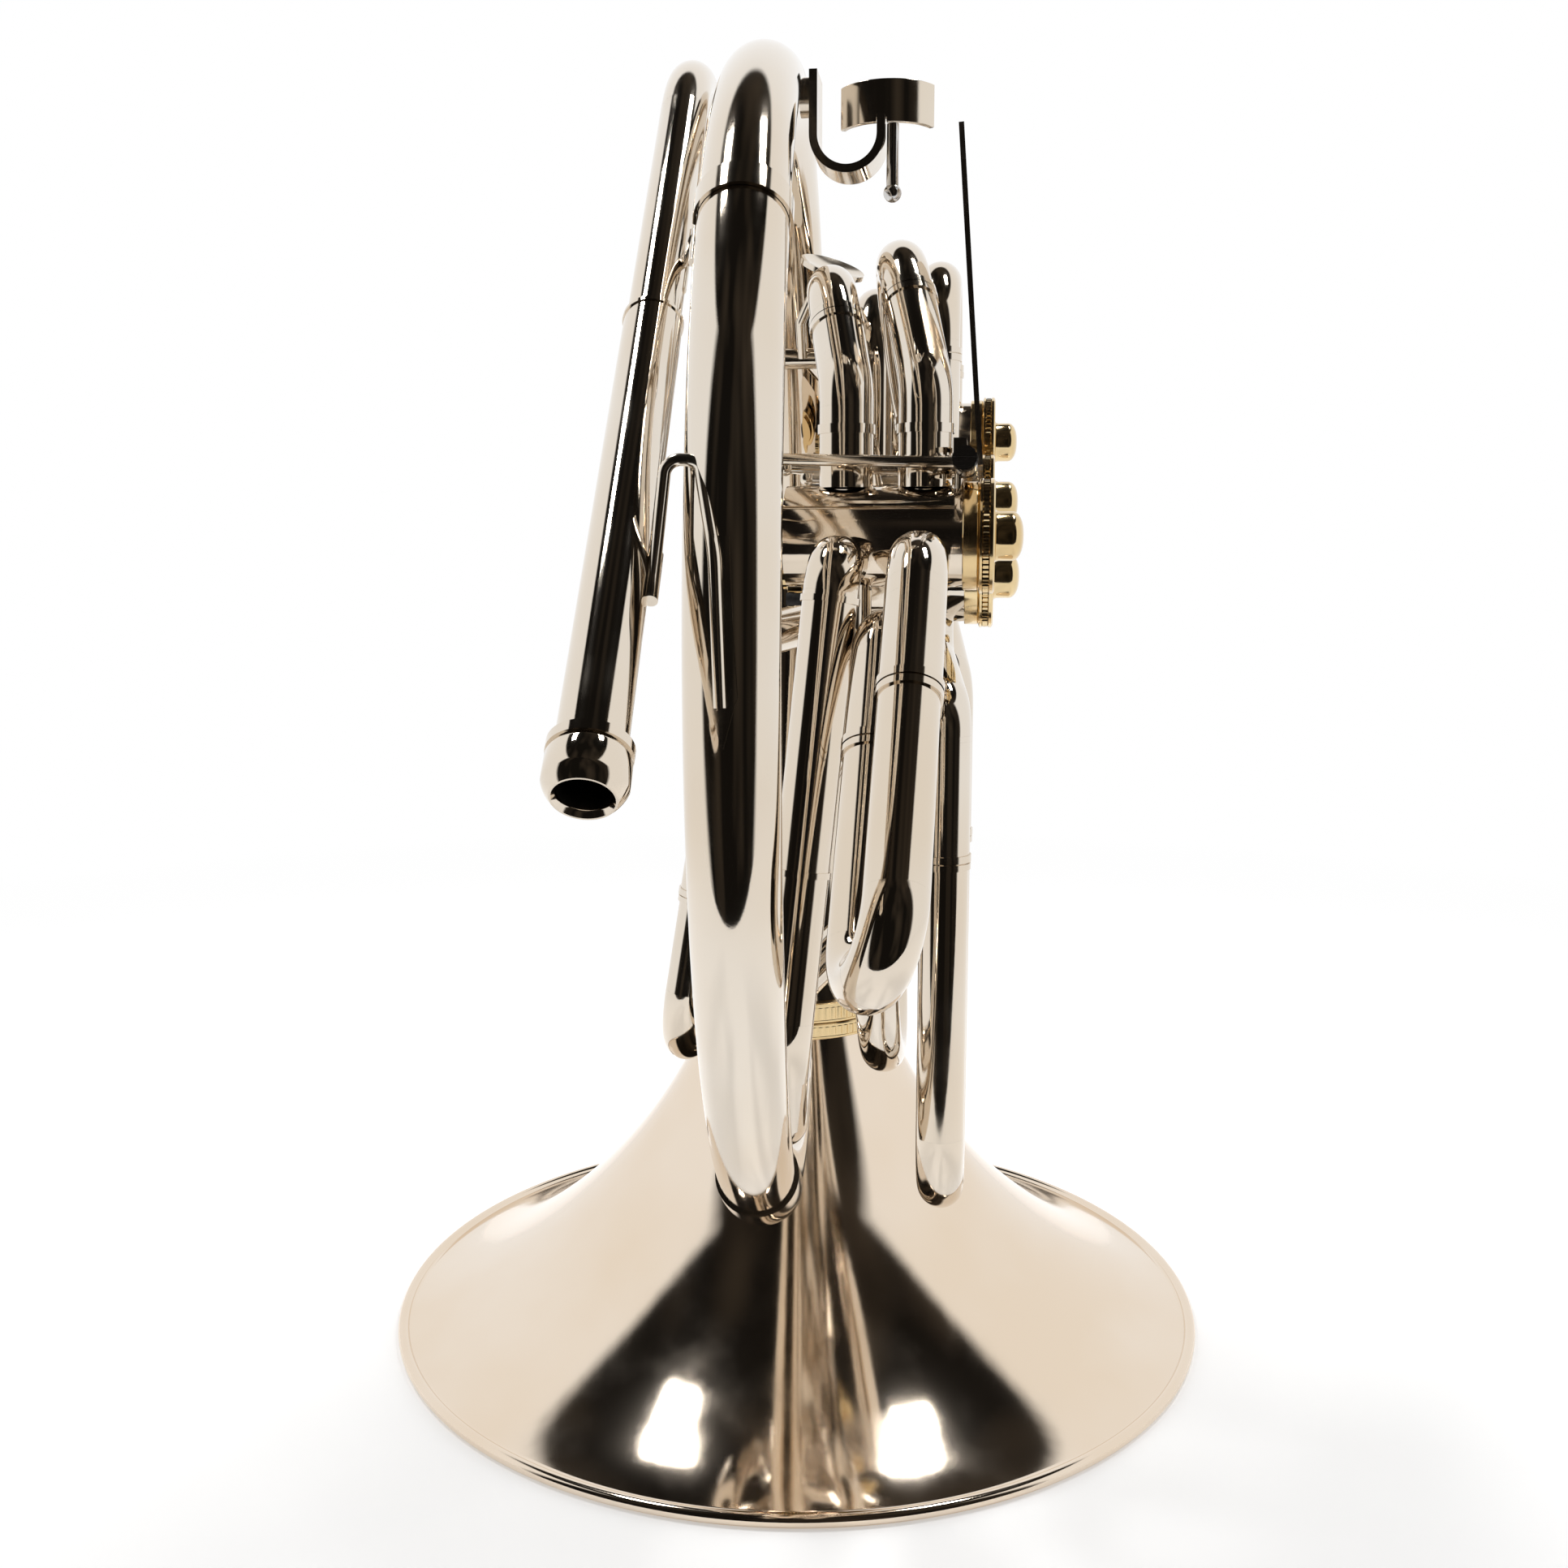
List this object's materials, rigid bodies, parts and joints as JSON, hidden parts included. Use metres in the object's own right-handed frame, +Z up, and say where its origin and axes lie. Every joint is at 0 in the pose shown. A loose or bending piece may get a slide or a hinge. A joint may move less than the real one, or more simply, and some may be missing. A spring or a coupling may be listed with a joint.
{
  "type": "double french horn",
  "caption": "Double french horn standing on its screw bell, with two-level rotary valves, finger levers, thumb lever and pull-out tuning slides.",
  "frame": {"origin": "centre of the bell mouth, on the surface the horn stands on", "axes": "+Z up the bell's axis, +X towards the finger levers and valve caps, -Y towards the mouthpiece receiver"},
  "size_m": [0.31, 0.4921, 0.4248],
  "materials": {
    "nickel_silver": "polished",
    "yellow_brass": "polished",
    "steel": "polished",
    "rubber": "matte"
  },
  "bodies": {
    "body": {"bell_flare": "nickel_silver", "bell_rim_wire": "steel", "bell_screw_ring": "yellow_brass", "tail_screw_ring": "yellow_brass", "bell_tail": "nickel_silver", "main_branch": "nickel_silver", "branch_ferrules": "nickel_silver", "lower_branch": "nickel_silver", "leadpipe": "nickel_silver", "leadpipe_sleeve": "nickel_silver", "mouthpiece_receiver": "nickel_silver", "leadpipe_brace": "nickel_silver", "hairpin_brace": "nickel_silver", "tuning_sleeves": "nickel_silver", "main_crook": "nickel_silver", "crook_ferrules": "nickel_silver", "casing_1": "nickel_silver", "casing_2": "nickel_silver", "casing_3": "nickel_silver", "casing_4": "nickel_silver", "bearing_plates": "yellow_brass", "valve_caps": "yellow_brass", "bumpers": "rubber", "knuckles": "nickel_silver", "front_slide_sleeves": "nickel_silver", "long_slide_sleeves": "nickel_silver", "small_slide_sleeves": "nickel_silver", "upper_1_sleeves": "nickel_silver", "upper_2_sleeves": "nickel_silver", "back_sleeves": "nickel_silver", "back_crook": "nickel_silver", "hinge_rod": "steel", "hinge_posts": "nickel_silver", "thumb_rod": "steel", "finger_hook": "nickel_silver", "hand_saddle": "nickel_silver", "saddle_screw": "steel", "body_braces": "nickel_silver"},
    "valve_1": {"rotor_1": "yellow_brass", "stop_arm_1": "yellow_brass"},
    "valve_2": {"rotor_2": "yellow_brass", "stop_arm_2": "yellow_brass"},
    "valve_3": {"rotor_3": "yellow_brass", "stop_arm_3": "yellow_brass"},
    "valve_4": {"rotor_4": "yellow_brass", "stop_arm_4": "yellow_brass"},
    "finger_lever_1": {"lever_1": "nickel_silver"},
    "finger_lever_2": {"lever_2": "nickel_silver"},
    "finger_lever_3": {"lever_3": "nickel_silver"},
    "thumb": {"thumb_lever": "nickel_silver"},
    "tuning_slide": {"tuning_slide": "nickel_silver"},
    "front_slide": {"front_slide": "nickel_silver"},
    "long_slide": {"long_slide": "nickel_silver"},
    "small_slide": {"small_slide": "nickel_silver"},
    "upper_1_slide": {"upper_1_slide": "nickel_silver"},
    "upper_2_slide": {"upper_2_slide": "nickel_silver"},
    "back_slide": {"back_slide": "nickel_silver"}
  },
  "joints": [
    {"name": "valve_1_turn", "type": "hinge", "parent": "body", "child": "valve_1", "pos_m": [0.041, -0.165, 0.2955], "axis": [1, 0, 0], "range_deg": [0, 90], "stiffness_Nm_per_rad": 0.02, "springref_deg": -34.38},
    {"name": "valve_2_turn", "type": "hinge", "parent": "body", "child": "valve_2", "pos_m": [0.041, -0.12, 0.285], "axis": [1, 0, 0], "range_deg": [0, 90], "stiffness_Nm_per_rad": 0.02, "springref_deg": -34.38},
    {"name": "valve_3_turn", "type": "hinge", "parent": "body", "child": "valve_3", "pos_m": [0.041, -0.076, 0.308], "axis": [1, 0, 0], "range_deg": [0, 90], "stiffness_Nm_per_rad": 0.02, "springref_deg": -34.38},
    {"name": "valve_4_turn", "type": "hinge", "parent": "body", "child": "valve_4", "pos_m": [0.041, -0.034, 0.33], "axis": [1, 0, 0], "range_deg": [0, 90], "stiffness_Nm_per_rad": 0.02, "springref_deg": -34.38},
    {"name": "finger_lever_1_press", "type": "hinge", "parent": "body", "child": "finger_lever_1", "pos_m": [0.065, -0.182, 0.3134], "axis": [0, -1, 0], "range_deg": [0, 8]},
    {"name": "finger_lever_2_press", "type": "hinge", "parent": "body", "child": "finger_lever_2", "pos_m": [0.065, -0.157, 0.3134], "axis": [0, -1, 0], "range_deg": [0, 8]},
    {"name": "finger_lever_3_press", "type": "hinge", "parent": "body", "child": "finger_lever_3", "pos_m": [0.065, -0.119, 0.3134], "axis": [0, -1, 0], "range_deg": [0, 8]},
    {"name": "thumb_press", "type": "hinge", "parent": "body", "child": "thumb", "pos_m": [0.011, -0.072, 0.354], "axis": [-1, 0, 0], "range_deg": [0, 15]},
    {"name": "tuning_slide_pull", "type": "slide", "parent": "body", "child": "tuning_slide", "axis": [-0.1628, 0, -0.9867], "range_m": [0, 0.028]},
    {"name": "front_slide_pull", "type": "slide", "parent": "body", "child": "front_slide", "axis": [-0.0122, -0.6321, -0.7748], "range_m": [0, 0.018]},
    {"name": "long_slide_pull", "type": "slide", "parent": "body", "child": "long_slide", "axis": [0, 0, -1], "range_m": [0, 0.028]},
    {"name": "small_slide_pull", "type": "slide", "parent": "body", "child": "small_slide", "axis": [0.0582, 0, -0.9983], "range_m": [0, 0.028]},
    {"name": "upper_1_slide_pull", "type": "slide", "parent": "body", "child": "upper_1_slide", "axis": [-0.1749, 0.5746, 0.7995], "range_m": [0, 0.009]},
    {"name": "upper_2_slide_pull", "type": "slide", "parent": "body", "child": "upper_2_slide", "axis": [-0.1749, 0.5746, 0.7995], "range_m": [0, 0.012]},
    {"name": "back_slide_pull", "type": "slide", "parent": "body", "child": "back_slide", "axis": [0, 0, 1], "range_m": [0, 0.006]}
  ],
  "couplings": [
    {"joint": "finger_lever_1_press", "follows": "valve_1_turn", "ratio": 0.088888},
    {"joint": "finger_lever_2_press", "follows": "valve_2_turn", "ratio": 0.088888},
    {"joint": "finger_lever_3_press", "follows": "valve_3_turn", "ratio": 0.088888},
    {"joint": "thumb_press", "follows": "valve_4_turn", "ratio": 0.16667}
  ]
}
